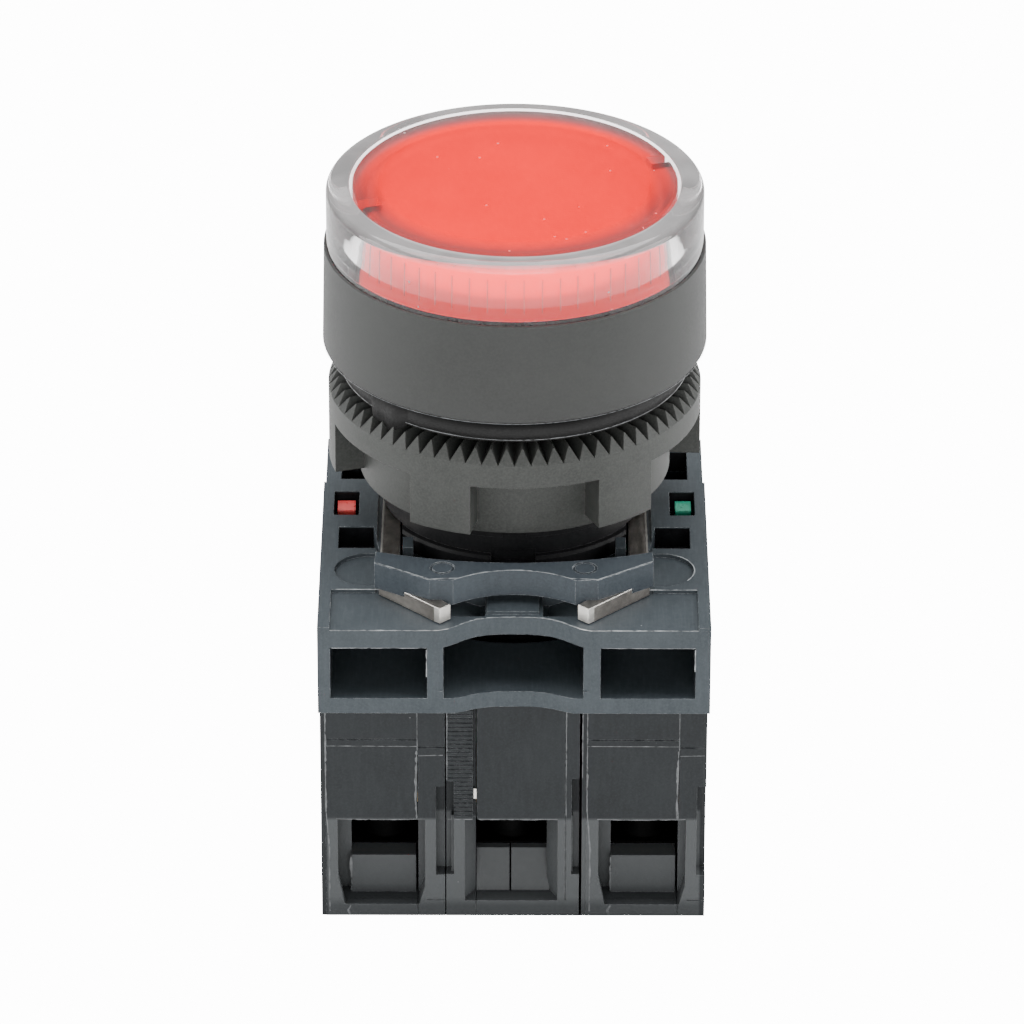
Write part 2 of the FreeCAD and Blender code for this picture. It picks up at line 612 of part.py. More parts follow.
doc.recompute()
for item in doc.Objects:
    if "Invalid" in item.State or "Error" in item.State:
        raise RuntimeError("%s (%s) did not build: %s" % (item.Name, item.Label, item.State))
for name, item in nodes.items():
    shape = item.Shape
    if shape.isNull() or not shape.isValid() or not shape.Solids:
        raise RuntimeError(name + " is not a valid solid")
    shape.exportStep("parts/%s.step" % name)
    bounds = shape.BoundBox
    print("%-20s %d solid(s) %8.1f mm3  x %.2f..%.2f y %.2f..%.2f z %.2f..%.2f" % (
        name, len(shape.Solids), shape.Volume, bounds.XMin, bounds.XMax, bounds.YMin, bounds.YMax,
        bounds.ZMin, bounds.ZMax))
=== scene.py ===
import math
import random
import bpy
from mathutils import Matrix, Vector


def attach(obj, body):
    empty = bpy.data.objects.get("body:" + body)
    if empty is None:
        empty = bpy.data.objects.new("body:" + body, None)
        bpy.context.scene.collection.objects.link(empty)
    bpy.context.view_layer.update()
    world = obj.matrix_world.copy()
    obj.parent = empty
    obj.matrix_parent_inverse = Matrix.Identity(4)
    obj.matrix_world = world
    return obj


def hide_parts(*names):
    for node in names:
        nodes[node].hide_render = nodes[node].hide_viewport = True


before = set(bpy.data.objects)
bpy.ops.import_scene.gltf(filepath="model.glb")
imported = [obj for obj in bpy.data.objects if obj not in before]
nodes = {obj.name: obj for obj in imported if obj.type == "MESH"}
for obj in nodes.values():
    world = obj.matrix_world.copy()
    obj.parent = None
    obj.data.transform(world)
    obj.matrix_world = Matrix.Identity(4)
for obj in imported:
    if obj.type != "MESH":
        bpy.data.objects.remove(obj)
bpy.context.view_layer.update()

mm = 0.001


# camera, light, floor
studio = {"lens": 250.0, "distance": 557.7 * mm, "tilt": 28.914, "roll": 0.127,
          "aim": Vector((-0.182, 0, 27.576)) * mm, "floorSize": 3.0, "lampAim": Vector((0, 0, 0.03)),
          "airLit": 0.60, "airSeen": 14.0, "airThrough": 1.7, "floorThrough": 0.07}


def pointAt(thing, place, aim, roll=0.0):
    thing.location = place
    turn = (aim - place).to_track_quat("-Z", "Y").to_matrix().to_4x4()
    turn = turn @ Matrix.Rotation(math.radians(roll), 4, "Z")
    thing.rotation_euler = turn.to_euler()


def makeCamera():
    tilt = math.radians(studio["tilt"])
    place = studio["aim"] + Vector((0, -math.cos(tilt), math.sin(tilt))) * studio["distance"]
    camera = bpy.data.objects.new("camera", bpy.data.cameras.new("camera"))
    camera.data.lens = studio["lens"]
    camera.data.clip_start = 0.01
    pointAt(camera, place, studio["aim"], studio["roll"])
    bpy.context.collection.objects.link(camera)
    bpy.context.scene.camera = camera


lamps = {
    "topSoftbox": {"place": (0.0, 0.10, 0.55), "size": (0.60, 0.50), "power": 6.5},
    "leftSoftbox": {"place": (-0.50, -0.05, 0.22), "size": (0.35, 0.45), "power": 3.4},
    "rightSoftbox": {"place": (0.50, -0.05, 0.22), "size": (0.35, 0.45), "power": 3.4},
    "frontFill": {"place": (0.0, -0.65, 0.20), "size": (0.55, 0.30), "power": 3.5},
}


def makeLamp(name, place, size, power):
    lamp = bpy.data.objects.new(name, bpy.data.lights.new(name, "AREA"))
    lamp.data.shape = "RECTANGLE"
    lamp.data.size, lamp.data.size_y = size
    lamp.data.energy = power
    pointAt(lamp, Vector(place), studio["lampAim"])
    bpy.context.collection.objects.link(lamp)


makeCamera()
for name, lamp in lamps.items():
    makeLamp(name, **lamp)


def makeAir(lit, seen, through):
    # even white air: soft light on the piece, brighter through clear plastic, clean white behind
    world = bpy.data.worlds.new("studioAir")
    bpy.context.scene.world = world
    world.use_nodes = True
    tree = world.node_tree
    path = tree.nodes.new("ShaderNodeLightPath")
    power = tree.nodes.new("ShaderNodeMapRange")
    clear = tree.nodes.new("ShaderNodeMapRange")
    clear.inputs["To Min"].default_value = lit
    clear.inputs["To Max"].default_value = through
    tree.links.new(path.outputs["Is Transmission Ray"], clear.inputs["Value"])
    tree.links.new(clear.outputs["Result"], power.inputs["To Min"])
    power.inputs["To Max"].default_value = seen
    air = tree.nodes["Background"]
    air.inputs["Color"].default_value = (1.0, 1.0, 1.0, 1.0)
    tree.links.new(path.outputs["Is Camera Ray"], power.inputs["Value"])
    tree.links.new(power.outputs["Result"], air.inputs["Strength"])


makeAir(studio["airLit"], studio["airSeen"], studio["airThrough"])


# shader building
class Signal:
    # one socket of a node tree that can stand in sums
    def __init__(self, paint, socket):
        self.paint = paint
        self.socket = socket

    def maths(self, operation, first, second):
        return self.paint.node("ShaderNodeMath", {"operation": operation}, {0: first, 1: second})

    def __add__(self, other):
        return self.maths("ADD", self, other)

    def __rsub__(self, other):
        return self.maths("SUBTRACT", other, self)

    def __mul__(self, other):
        return self.maths("MULTIPLY", self, other)


class Paint:
    # a material and the tools to wire it
    def __init__(self, name, **constants):
        self.material = bpy.data.materials.new(name)
        self.material.use_nodes = True
        self.tree = self.material.node_tree
        self.tree.nodes.clear()
        self.shader = self.tree.nodes.new("ShaderNodeBsdfPrincipled")
        output = self.tree.nodes.new("ShaderNodeOutputMaterial")
        self.tree.links.new(self.shader.outputs["BSDF"], output.inputs["Surface"])
        for key, value in constants.items():
            self.set(key, value)
        self.place = self.node("ShaderNodeTexCoord", output="Object")

    def put(self, socket, value):
        if isinstance(value, Signal):
            self.tree.links.new(value.socket, socket)
        elif isinstance(value, (tuple, list)) and socket.type == "RGBA" and len(value) == 3:
            socket.default_value = (*value, 1.0)
        else:
            socket.default_value = value

    def set(self, key, value):
        title = {"color": "Base Color", "rough": "Roughness", "metal": "Metallic", "coat": "Coat Weight",
                 "normal": "Normal", "glow": "Emission Color", "glowPower": "Emission Strength",
                 "ior": "IOR", "clear": "Transmission Weight", "specular": "Specular IOR Level"}[key]
        self.put(self.shader.inputs[title], value)

    def node(self, kind, settings=None, sockets=None, output=0):
        made = self.tree.nodes.new(kind)
        for key, value in (settings or {}).items():
            setattr(made, key, value)
        for key, value in (sockets or {}).items():
            if isinstance(key, str):
                matches = [s for s in made.inputs if s.identifier == key or s.name == key]
                self.put(matches[0], value)
            else:
                self.put(made.inputs[key], value)
        return Signal(self, made.outputs[output])

    def along(self, axis):
        return self.node("ShaderNodeSeparateXYZ", None, {"Vector": self.place}, output=axis)

    def noise(self, size, detail=3.0, rough=0.5, stretch=None, seed=0.0):
        # size is the width of a blob in millimetres
        place = self.place
        if stretch or seed:
            place = self.node("ShaderNodeMapping", None,
                              {"Vector": place, "Location": (seed, seed * 0.7, seed * 1.3),
                               "Scale": stretch or (1, 1, 1)})
        return self.node("ShaderNodeTexNoise", None,
                         {"Vector": place, "Scale": 1 / (size * mm), "Detail": detail,
                          "Roughness": rough})

    def specks(self, spacing, radius, seed=0.0):
        # 1 on scattered round specks, spacing and radius in millimetres
        place = self.node("ShaderNodeMapping", None,
                          {"Vector": self.place, "Location": (seed, seed * 0.7, seed * 1.3)})
        away = self.node("ShaderNodeTexVoronoi", None,
                         {"Vector": place, "Scale": 1 / (spacing * mm), "Randomness": 1.0})
        return self.ramp(away, radius / spacing, radius / spacing * 0.7)

    def ramp(self, value, low, high, start=0.0, end=1.0):
        return self.node("ShaderNodeMapRange", {"clamp": True},
                         {"Value": value, "From Min": low, "From Max": high, "To Min": start,
                          "To Max": end})

    def mix(self, factor, first, second, blend="MIX"):
        return self.node("ShaderNodeMix", {"data_type": "RGBA", "blend_type": blend},
                         {"Factor_Float": factor, "A_Color": first, "B_Color": second}, output=2)

    def bevel(self, radius, samples=4):
        return self.node("ShaderNodeBevel", {"samples": samples}, {"Radius": radius * mm})

    def edges(self, radius, low=0.02, high=0.25):
        # 1 on sharp corners, 0 on flat ground
        soft = self.bevel(radius)
        sharp = self.node("ShaderNodeNewGeometry", output="Normal")
        agree = self.node("ShaderNodeVectorMath", {"operation": "DOT_PRODUCT"},
                          {0: soft, 1: sharp}, output="Value")
        return self.ramp(1 - agree, low, high)

    def bump(self, height, depth, under=None):
        sockets = {"Height": height, "Distance": depth * mm, "Strength": 1.0}
        if under:
            sockets["Normal"] = under
        return self.node("ShaderNodeBump", None, sockets)


# finishes
def mouldedPlastic(name, look):
    paint = Paint(name, ior=1.5)
    cloud = paint.noise(look["cloud"], 4.0, 0.6)
    fine = paint.noise(look["grain"], 4.0, 0.65, seed=3.1)
    streak = paint.noise(look["streak"], 3.0, 0.55, stretch=look["flow"], seed=7.7)
    sweep = paint.noise(0.5, 3.0, 0.6, stretch=(3.0, 0.25, 3.0), seed=9.1)
    torn = paint.ramp(paint.noise(0.7, 4.0, 0.75, seed=1.9), 0.40, 0.62)
    wear = paint.edges(look["edge"]) * torn
    dust = paint.specks(2.6, 0.055, 12.3)
    shade = paint.mix(paint.ramp(cloud, 0.32, 0.68), look["dark"], look["light"])
    shade = paint.mix(paint.ramp(fine, 0.38, 0.66) * look["grains"], shade, look["pale"])
    shade = paint.mix(paint.ramp(streak, 0.45, 0.75) * look["streaks"], shade, look["pale"])
    shade = paint.mix(paint.ramp(sweep, 0.48, 0.72) * look["sweeps"], shade, look["pale"])
    if "footHigh" in look:
        # painted light: paler frames about the wire entries, below their top and short of the outer edges,
        # with painted shade again along the sill at the bottom
        up = paint.along("Z")
        side = paint.node("ShaderNodeMath", {"operation": "ABSOLUTE"}, {0: paint.along("X")})
        high, end, soft = (look[key] * mm for key in ("footHigh", "footEnd", "footSoft"))
        foot = paint.ramp(up, high + soft, high - soft)
        foot = foot * paint.ramp(up, look["sillPaintedShade"][0] * mm, look["sillPaintedShade"][1] * mm, 0.4, 1.0)
        foot = foot * paint.ramp(side, end, end - soft)
        shade = paint.mix(foot * look["footShare"], shade, look["foot"])
    shade = paint.mix(wear * look["wear"], shade, look["rub"])
    shade = paint.mix(dust * look["dust"], shade, look["rub"])
    paint.set("color", shade)
    paint.set("rough", paint.ramp(fine + cloud * 0.6, 0.5, 1.1, look["rough"][0], look["rough"][1]))
    paint.set("specular", look["specular"])
    height = fine * 0.6 + streak * 0.4
    paint.set("normal", paint.bump(height, look["relief"], paint.bevel(look["corner"])))
    return paint.material


collarLook = {"dark": (0.022, 0.029, 0.034), "light": (0.032, 0.040, 0.046), "pale": (0.054, 0.064, 0.071),
              "rub": (0.42, 0.44, 0.45), "cloud": 5.0, "grain": 0.22, "grains": 0.25, "streak": 1.2,
              "flow": (3.0, 3.0, 0.4), "streaks": 0.25, "edge": 0.06, "wear": 0.8, "dust": 0.8,
              "rough": (0.45, 0.62), "specular": 0.26, "relief": 0.010, "corner": 0.09, "sweeps": 0.35}
blockLook = dict(collarLook, dark=(0.0065, 0.008, 0.009), light=(0.011, 0.013, 0.0145),
                 pale=(0.020, 0.023, 0.025), rub=(0.22, 0.23, 0.24), wear=0.7,
                 rough=(0.42, 0.6), corner=0.07, specular=0.2,
                 # painted light on the lower fronts, painted shade along the sill
                 footHigh=8.85, footEnd=14.6, footSoft=0.15, sillPaintedShade=(0.9, 1.7), footShare=0.85,
                 foot=(0.056, 0.060, 0.062))
bezelLook = dict(collarLook, dark=(0.018, 0.019, 0.018), light=(0.023, 0.024, 0.023),
                 pale=(0.032, 0.033, 0.032), rub=(0.25, 0.25, 0.25), cloud=7.0, wear=0.5, streaks=0.1,
                 sweeps=0.0, grains=0.4, dust=0.0, rough=(0.48, 0.60), flow=(1, 1, 1), relief=0.005,
                 specular=0.3)
nutLook = dict(bezelLook, dark=(0.020, 0.022, 0.020), light=(0.032, 0.034, 0.032),
               pale=(0.050, 0.051, 0.048), rub=(0.22, 0.22, 0.21), cloud=5.0, grain=0.17, grains=0.5,
               wear=0.4, relief=0.012, specular=0.25)
neckLook = dict(blockLook, footShare=0.0, dark=(0.004, 0.004, 0.0045), light=(0.007, 0.007, 0.0075),
                wear=0.3, pale=(0.012, 0.012, 0.013), specular=0.15)
leverLook = dict(collarLook, dark=(0.016, 0.022, 0.028), light=(0.026, 0.033, 0.040),
                 pale=(0.042, 0.052, 0.060), grains=0.4, specular=0.3, edge=0.09, wear=1.0)

finish = {
    "leverPlastic": mouldedPlastic("leverPlastic", leverLook),
    "collarPlastic": mouldedPlastic("collarPlastic", collarLook),
    "blockPlastic": mouldedPlastic("blockPlastic", blockLook),
    "bezelPlastic": mouldedPlastic("bezelPlastic", bezelLook),
    "nutPlastic": mouldedPlastic("nutPlastic", nutLook),
    "neckPlastic": mouldedPlastic("neckPlastic", neckLook),
}


def rubber():
    paint = Paint("gasketRubber", ior=1.5, specular=0.18)
    fine = paint.noise(0.2, 4.0, 0.6)
    scuff = paint.edges(0.05) * paint.ramp(fine, 0.4, 0.6)
    paint.set("color", paint.mix(scuff, (0.009, 0.009, 0.009), (0.12, 0.12, 0.12)))
    paint.set("rough", paint.ramp(fine, 0.3, 0.7, 0.5, 0.7))
    paint.set("normal", paint.bump(fine, 0.01, paint.bevel(0.12)))
    return paint.material


lensLook = {"rim": (10.3, 12.0), "skirt": (55.5, 55.1), "foot": (51.7, 53.9)}


def redLens():
    # deep red on the disc, hazy mauve on its rim, strong light red on the skirt; the rim's mauve is the
    # dark inner wall painted in as if seen through it, and all of it carries a painted glow, strongest on
    # the skirt and brighter on white specks
    paint = Paint("redLens", ior=1.15, clear=1.0, specular=0.0, glowPower=0.16)
    haze = paint.noise(6.0, 3.0, 0.5)
    speck = paint.specks(1.9, 0.12, 4.4)
    flat = paint.node("ShaderNodeVectorMath", {"operation": "MULTIPLY"}, {0: paint.place, 1: (1, 1, 0)})
    away = paint.node("ShaderNodeVectorMath", {"operation": "LENGTH"}, {0: flat}, output="Value")
    up = paint.along("Z")
    rim = paint.ramp(away, *(v * mm for v in lensLook["rim"]))
    side = paint.ramp(up, *(v * mm for v in lensLook["skirt"]))
    red = paint.mix(paint.ramp(haze, 0.3, 0.7), (0.64, 0.001, 0.002), (0.69, 0.004, 0.005))
    red = paint.mix(side, paint.mix(rim, red, (0.11, 0.075, 0.075)), (0.60, 0.0, 0.0))
    # painted glow: faint red on the disc, mauve-white on the rim, strong red on the skirt rising towards
    # its top
    glow = paint.mix(rim, (0.12, 0.0, 0.0), (0.50, 0.44, 0.45))
    foot = paint.ramp(up, *(v * mm for v in lensLook["foot"]))
    glow = paint.mix(side, glow, paint.mix(foot, (3.9, 0.0, 0.0), (7.5, 0.0, 0.0)))
    paint.set("color", paint.mix(speck * 0.9, red, (0.98, 0.92, 0.92)))
    paint.set("glow", paint.mix(speck, glow, (2.2, 1.9, 1.9)))
    paint.set("rough", paint.ramp(haze + speck, 0.3, 0.8, 0.42, 0.50))
    paint.set("normal", paint.bump(paint.noise(1.5, 2.0, 0.5, seed=2.0), 0.002))
    return paint.material


crownGlowHeights = (55.7, 56.35)


def clearGuard():
    paint = Paint("clearGuard", ior=1.45, clear=0.985, color=(0.985, 0.965, 0.968), specular=0.1,
                  glowPower=0.52)
    wave = paint.noise(4.5, 2.0, 0.5)
    # painted glow: the crown glows unevenly, standing in for light piped up the ring
    uneven = paint.ramp(wave, 0.35, 0.65, 0.65, 1.0)
    up = paint.along("Z")
    crown = paint.ramp(up, *(v * mm for v in crownGlowHeights)) * uneven
    paint.set("glow", paint.mix(crown, (0.0, 0.0, 0.0), (1.0, 0.97, 0.97)))
    paint.set("rough", paint.ramp(paint.noise(0.8, 4.0, 0.6, seed=5.0), 0.4, 0.7, 0.015, 0.05))
    paint.set("normal", paint.bump(wave, 0.02))
    return paint.material


def milky():
    paint = Paint("milkyDiffuser", ior=1.45, glowPower=0.80)
    haze = paint.noise(4.0, 2.0, 0.5)
    white = paint.mix(haze, (0.90, 0.89, 0.88), (0.95, 0.95, 0.94))
    paint.set("color", white)
    # painted glow: the diffuser, and the LED that shares this finish, give off their own white, standing in
    # for light reaching them through the lens
    paint.set("glow", white)
    paint.set("rough", paint.ramp(haze, 0.3, 0.7, 0.5, 0.6))
    return paint.material


metals = {
    "springSteel": {"dark": (0.45, 0.45, 0.46), "light": (0.6, 0.6, 0.6), "rough": (0.25, 0.4)},
    # wire steel: its paler sharp edges are rubbed wear and partly a painted highlight along the burr
    "wireSteel": {"dark": (0.26, 0.24, 0.22), "light": (0.50, 0.47, 0.43), "rough": (0.28, 0.45),
                  "scratch": (1, 0.1, 1), "rub": (0.88, 0.85, 0.80)},
    # painted shade: screws and clamps made near black, as they lie in shade deep in the wire entries
    "screwSteelInPaintedShade": {"dark": (0.004, 0.004, 0.004), "light": (0.009, 0.009, 0.009), "rough": (0.6, 0.7)},
    "shearedSteelAndHighlight": {"dark": (0.62, 0.60, 0.56), "light": (0.85, 0.83, 0.78), "rough": (0.35, 0.5)},
    # painted shade: terminal and bridge brass darkened, as it lies in shade inside the blocks
    "brassInPaintedShade": {"dark": (0.24, 0.17, 0.08), "light": (0.32, 0.23, 0.12), "rough": (0.35, 0.5)},
}


def metal(name, dark, light, rough, scratch=(1, 1, 1), rub=None):
    paint = Paint(name, metal=1.0)
    grain = paint.noise(0.35, 5.0, 0.6, stretch=scratch)
    cloud = paint.noise(2.5, 3.0, 0.6, seed=2.2)
    shade = paint.mix(paint.ramp(cloud, 0.3, 0.7), dark, light)
    # paler sharp edges: rubbed wear, on the wire partly a painted highlight
    if rub:
        shade = paint.mix(paint.edges(0.10), shade, rub)
    paint.set("color", shade)
    paint.set("rough", paint.ramp(grain, 0.3, 0.7, rough[0], rough[1]))
    paint.set("normal", paint.bump(grain, 0.006, paint.bevel(0.12)))
    return paint.material


glosses = {
    # painted shade: near-black for the collar window sheets
    "paintedShadeBlack": {"dark": (0.004, 0.004, 0.0045), "light": (0.008, 0.008, 0.009), "shine": 0.05},
    "flashPale": {"dark": (0.08, 0.085, 0.09), "light": (0.34, 0.36, 0.37)},
    "flashDark": {"dark": (0.025, 0.028, 0.03), "light": (0.09, 0.095, 0.10)},
    "skirtShade": {"dark": (0.70, 0.07, 0.06), "light": (0.80, 0.11, 0.10), "shine": 0.0},
    "redPost": {"dark": (0.55, 0.04, 0.04), "light": (0.72, 0.08, 0.07)},
    "greenPost": {"dark": (0.012, 0.22, 0.13), "light": (0.02, 0.36, 0.22)},
    "boardLaminate": {"dark": (0.03, 0.14, 0.06), "light": (0.04, 0.2, 0.09)},
    # chip black, also used for the painted shadow card
    "chipAndShadowBlack": {"dark": (0.01, 0.01, 0.012), "light": (0.02, 0.02, 0.022)},
}


def gloss(name, dark, light, shine=0.5):
    paint = Paint(name, ior=1.5, coat=0.6 * shine, specular=shine)
    cloud = paint.noise(0.8, 3.0, 0.6)
    paint.set("color", paint.mix(paint.ramp(cloud, 0.3, 0.7), dark, light))
    paint.set("rough", paint.ramp(cloud, 0.3, 0.7, 0.25, 0.4))
    paint.set("normal", paint.bump(paint.noise(0.5), 0.01, paint.bevel(0.25)))
    return paint.material


def pale():
    # white sweep: catches light like card, and shows as clean white
    paint = Paint("paleFloor", specular=0.2)
    cloud = paint.noise(90.0, 2.0, 0.5)
    paint.set("color", paint.mix(cloud, (0.80, 0.80, 0.80), (0.84, 0.84, 0.84)))
    paint.set("rough", 0.9)
    seen = paint.node("ShaderNodeLightPath", output="Is Camera Ray")
    through = paint.node("ShaderNodeLightPath", output="Is Transmission Ray")
    glow = paint.node("ShaderNodeEmission", None, {"Color": (1.0, 1.0, 1.0), "Strength": studio["airSeen"]})
    card = Signal(paint, paint.shader.outputs["BSDF"])
    share = seen + through * studio["floorThrough"]
    mixed = paint.node("ShaderNodeMixShader", None, {0: share, 1: card, 2: glow})
    ends = [n for n in paint.tree.nodes if n.type == "OUTPUT_MATERIAL"]
    paint.tree.links.new(mixed.socket, ends[0].inputs["Surface"])
    return paint.material


finish["gasketRubber"] = rubber()
finish["redLens"] = redLens()
finish["clearGuard"] = clearGuard()
finish["milkyDiffuser"] = milky()
for name, look in metals.items():
    finish[name] = metal(name, **look)
for name, look in glosses.items():
    finish[name] = gloss(name, **look)
print("finishes made:", len(finish))


# floor
floor = bpy.data.objects.new("floor", bpy.data.meshes.new("floor"))
half = studio["floorSize"] / 2
floor.data.from_pydata([(-half, -half, 0), (half, -half, 0), (half, half, 0), (-half, half, 0)], [],
                       [(0, 1, 2, 3)])
floor.data.materials.append(pale())
bpy.context.collection.objects.link(floor)


# finishes of the pieces that come from CAD
worn = {
    "head_body": "neckPlastic", "bezel_ring": "bezelPlastic", "clear_guard_ring": "clearGuard",
    "lens_cap": "redLens", "lens_diffuser": "milkyDiffuser", "push_carrier": "neckPlastic",
    "return_spring": "springSteel", "panel_gasket": "gasketRubber", "carrier_seal": "gasketRubber",
    "fixing_nut": "nutPlastic", "mounting_collar": "collarPlastic", "lock_lever": "leverPlastic",
    "lock_wires": "wireSteel", "nc_plunger": "redPost", "no_plunger": "greenPost",
    "lamp_board": "boardLaminate", "lamp_led": "milkyDiffuser", "lamp_resistor": "chipAndShadowBlack",
}
for block in ("nc", "no", "lamp"):
    worn[block + "_housing"] = worn[block + "_cover"] = "blockPlastic"
    worn[block + "_terminals"] = "brassInPaintedShade"
    worn[block + "_clamps"] = worn[block + "_screws"] = "screwSteelInPaintedShade"
for block in ("nc", "no"):
    worn[block + "_bridge"] = "brassInPaintedShade"
    worn[block + "_contact_spring"] = worn[block + "_return_spring"] = "springSteel"
for name, finishName in worn.items():
    mesh = nodes[name].data
    mesh.materials.clear()
    mesh.materials.append(finish[finishName])
print("cad pieces dressed:", len(worn))


# makers of plain meshes, sizes in millimetres
def meshOf(name, corners, faces, finishName, smooth=False):
    mesh = bpy.data.meshes.new(name)
    mesh.from_pydata([tuple(v * mm for v in corner) for corner in corners], [], faces)
    mesh.materials.append(finish[finishName])
    mesh.polygons.foreach_set("use_smooth", [smooth] * len(mesh.polygons))
    made = bpy.data.objects.new(name, mesh)
    bpy.context.collection.objects.link(made)
    return made


def loft(name, rings, finishName, smooth=True):
    # closed tube of rings about the button's axis, each a list of (x, y, z)
    steps = len(rings[0])
    corners = [point for ring in rings for point in ring]
    faces = []
    for i in range(len(rings)):
        j = (i + 1) % len(rings)
        for k in range(steps):
            m = (k + 1) % steps
            faces.append((i * steps + k, i * steps + m, j * steps + m, j * steps + k))
    return meshOf(name, corners, faces, finishName, smooth)


# fine ribs on the skirt of the lens
skirt = {"ribs": 58, "radius": 12.21, "proud": 0.09, "half": 0.04, "low": 51.7, "high": 54.4}


def skirtRibs():
    corners, faces = [], []
    for i in range(skirt["ribs"]):
        turn = math.tau * i / skirt["ribs"]
        across = Vector((-math.sin(turn), math.cos(turn), 0)) * skirt["half"]
        near = Vector((math.cos(turn), math.sin(turn), 0)) * skirt["radius"]
        far = near * (1 + skirt["proud"] / skirt["radius"])
        start = len(corners)
        for z in (skirt["low"], skirt["high"]):
            for point in (near - across, near + across, far + across, far - across):
                corners.append((point.x, point.y, z))
        faces += [tuple(start + n for n in face) for face in
                  ((3, 2, 1, 0), (4, 5, 6, 7), (0, 1, 5, 4), (1, 2, 6, 5), (2, 3, 7, 6), (3, 0, 4, 7))]
    return meshOf("skirtRibs", corners, faces, "skirtShade")


ribs = skirtRibs()
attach(ribs, "button")
print("lens skirt ribs made")


# clear guard ring with its rounded top
guard = {"out": 14.5, "bore": 12.7, "neck": 13.4, "low": 45.6, "seat": 51.5, "bend": 55.78, "crown": 56.5,
         "flat": 13.15, "lip": 0.17, "steps": 256}


def guardRing():
    profile = [(guard["bore"], guard["low"]), (guard["neck"], guard["low"]),
               (guard["neck"], guard["seat"]), (guard["out"], guard["seat"]), (guard["out"], guard["bend"])]
    for i in range(1, 13):
        turn = math.pi / 2 * i / 12
        profile.append((guard["flat"] + (guard["out"] - guard["flat"]) * math.cos(turn),
                        guard["bend"] + (guard["crown"] - guard["bend"]) * math.sin(turn)))
    for i in range(7):
        turn = math.pi / 2 * i / 6
        profile.append((guard["bore"] + guard["lip"] * (1 - math.sin(turn)),
                        guard["crown"] - guard["lip"] * (1 - math.cos(turn))))
    turns = [math.tau * k / guard["steps"] for k in range(guard["steps"])]
    rings = [[(radius * math.cos(turn), radius * math.sin(turn), z) for turn in turns]
             for radius, z in profile]
    piece = loft("guardRing", rings, "clearGuard")
    piece.data.set_sharp_from_angle(angle=math.radians(32))
    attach(piece, "base")
    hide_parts("clear_guard_ring")


guardRing()
print("guard ring made")


# panel gasket with its uneven rim and torn tab
gasket = {"inner": 11.05, "outer": 13.42, "low": 41.0, "high": 42.39, "steps": 720,
          "tabAt": math.radians(-136), "tabHalf": math.radians(8.5), "tabDrop": 0.9, "tabOut": 0.3}


def gasketRing():
    dice = random.Random(5)
    phases = [(n, dice.uniform(0, math.tau), dice.uniform(0.2, 1.0)) for n in (3, 7, 13, 22, 35, 51)]
    rings = [[], [], [], []]
    for k in range(gasket["steps"]):
        turn = math.tau * k / gasket["steps"]
        rough = sum(math.sin(n * turn + at) * size for n, at, size in phases) / 3.0
        away = abs((turn - gasket["tabAt"] + math.pi) % math.tau - math.pi) / gasket["tabHalf"]
        tab = max(0.0, 1 - away ** 4) * (0.85 + 0.15 * math.sin(turn * 37)) if away < 1 else 0.0
        outer = gasket["outer"] + 0.06 * rough + gasket["tabOut"] * tab
        low = gasket["low"] + 0.06 * (1 + rough) - gasket["tabDrop"] * tab
        for ring, (radius, z) in zip(rings, ((gasket["inner"], gasket["low"] + 0.1), (outer, low),
                                             (outer, gasket["high"]), (gasket["inner"], gasket["high"]))):
            ring.append((radius * math.cos(turn), radius * math.sin(turn), z))
    piece = loft("gasketRing", rings, "gasketRubber", True)
    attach(piece, "base")
    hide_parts("panel_gasket")


gasketRing()
print("gasket made")


# moulding flash along edges and parting lines
flash = {"lift": 0.012, "step": 0.22}


def flashLine(corners, faces, path, side, width, dice, gaps=0.25):
    # ragged ribbon along a path of (x, y, z) corners, spreading towards side
    side = Vector(side)
    points = []
    for first, last in zip(path, path[1:]):
        first, last = Vector(first), Vector(last)
        count = max(1, round((last - first).length / flash["step"]))
        points += [first.lerp(last, i / count) for i in range(count)]
    points.append(Vector(path[-1]))
    ridge = 0.0
    before = None
    for point in points:
        ridge = 0.6 * ridge + 0.4 * dice.uniform(-0.5, 1.0)
        reach = width * max(0.0, 0.45 + ridge) * (0.0 if dice.random() < gaps * 0.4 else 1.0)
        pair = len(corners)
        corners.append(tuple(point - side * reach * 0.35))
        corners.append(tuple(point + side * (reach + 0.012)))
        if before is not None:
            faces.append((before, pair, pair + 1, before + 1))
        before = pair


def flashPiece(name, paths, finishName, seed):
    dice = random.Random(seed)
    corners, faces = [], []
    for path, side, width in paths:
        flashLine(corners, faces, path, side, width, dice)
    piece = meshOf(name, corners, faces, finishName)
    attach(piece, "base")


